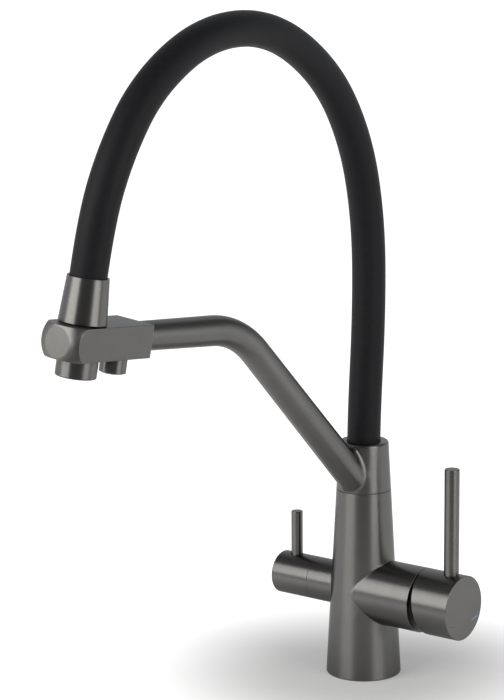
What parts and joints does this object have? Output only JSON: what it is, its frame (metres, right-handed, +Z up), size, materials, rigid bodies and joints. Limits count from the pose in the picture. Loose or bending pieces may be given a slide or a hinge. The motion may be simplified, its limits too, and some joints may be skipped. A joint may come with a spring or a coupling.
{
  "type": "kitchen tap with filtered water outlet",
  "caption": "Deck-mounted kitchen tap with a side lever mixer, a quarter-turn filtered water valve, and a swivelling arm whose two-outlet head is fed by a flexible hose arch.",
  "frame": {"origin": "centre of the column's foot, on the deck it stands on", "axes": "+Z up along the column; +X along the valve axis towards the mixer handle, so the filter valve is at -X; -Y to the front, where the arm reaches out"},
  "size_m": [0.1461, 0.3296, 0.4541],
  "materials": {
    "gunmetal": "fine brushed dark gunmetal",
    "gunmetal_lever": "fine brushed dark gunmetal, brushed along the rod",
    "hose_cover": "matt black silicone",
    "inner_pipe": "plain grey reinforced hose",
    "spring_steel": "bare spring wire",
    "water_tube": "food-safe white plastic",
    "seal_rubber": "smooth black rubber",
    "glide_plastic": "black sliding plastic",
    "cartridge_plastic": "off-white moulded plastic",
    "dark_plastic": "black moulded plastic",
    "clear_plastic": "pale smooth plastic",
    "ceramic": "polished ceramic",
    "plain_brass": "turned brass",
    "screw_steel": "dark stainless steel",
    "red_mark": "red enamel",
    "blue_mark": "blue enamel"
  },
  "bodies": {
    "column": {"body": "gunmetal", "deck_seal": "seal_rubber", "swivel_spigot": "plain_brass", "spigot_o_rings": "seal_rubber", "glide_ring": "glide_plastic", "cartridge_seals": "seal_rubber", "cartridge_housing": "cartridge_plastic", "fixed_disc": "ceramic", "cartridge_nut": "plain_brass", "cartridge_cover": "dark_plastic", "filter_seat_seal": "seal_rubber", "filter_headwork": "plain_brass", "filter_fixed_disc": "ceramic"},
    "spout": {"swivel_arm": "gunmetal", "collar_lock_screw": "screw_steel", "filtered_water_tube": "water_tube", "head_block": "gunmetal", "aerator_housing": "gunmetal", "aerator_insert": "dark_plastic", "aerator_seal": "seal_rubber", "filter_outlet_housing": "gunmetal", "filter_outlet_insert": "clear_plastic", "filter_outlet_seal": "seal_rubber", "hose_ferrule": "gunmetal", "hose_sleeve": "hose_cover", "support_coil": "spring_steel", "inner_hose": "inner_pipe", "hose_nipple_base": "plain_brass", "hose_nipple_head": "plain_brass", "crimp_sleeves": "spring_steel"},
    "mixer_turner": {"cartridge_rotor": "dark_plastic", "stem_pin": "screw_steel"},
    "mixer_grip": {"cartridge_stem": "plain_brass", "mixer_handle": "gunmetal", "mixer_lever": "gunmetal_lever", "handle_set_screw": "screw_steel", "hot_mark": "red_mark", "cold_mark": "blue_mark"},
    "mixing_disc": {"moving_disc": "ceramic", "disc_carrier": "cartridge_plastic"},
    "filter_grip": {"filter_spindle": "plain_brass", "spindle_o_ring": "seal_rubber", "spindle_circlip": "screw_steel", "filter_moving_disc": "ceramic", "filter_handle": "gunmetal", "filter_lever": "gunmetal_lever", "filter_set_screw": "screw_steel"}
  },
  "joints": [
    {"name": "spout_swivel", "type": "hinge", "parent": "column", "child": "spout", "pos_m": [0, 0, 0.1381], "axis": [0, 0, 1], "continuous": true},
    {"name": "mixer_temperature", "type": "hinge", "parent": "column", "child": "mixer_turner", "pos_m": [0.03, 0, 0.0578], "axis": [1, 0, 0], "range_deg": [-45, 45]},
    {"name": "mixer_flow", "type": "hinge", "parent": "mixer_turner", "child": "mixer_grip", "pos_m": [0.028, 0, 0.0578], "axis": [0, 1, 0], "range_deg": [0, 25]},
    {"name": "mixing_disc_slide", "type": "slide", "parent": "mixer_turner", "child": "mixing_disc", "axis": [0, 0, 1], "range_m": [0, 0.003]},
    {"name": "filter_turn", "type": "hinge", "parent": "column", "child": "filter_grip", "pos_m": [-0.045, 0, 0.0578], "axis": [1, 0, 0], "range_deg": [0, 90]}
  ],
  "couplings": [
    {"joint": "mixing_disc_slide", "follows": "mixer_flow", "m_per_rad": 0.0068}
  ]
}
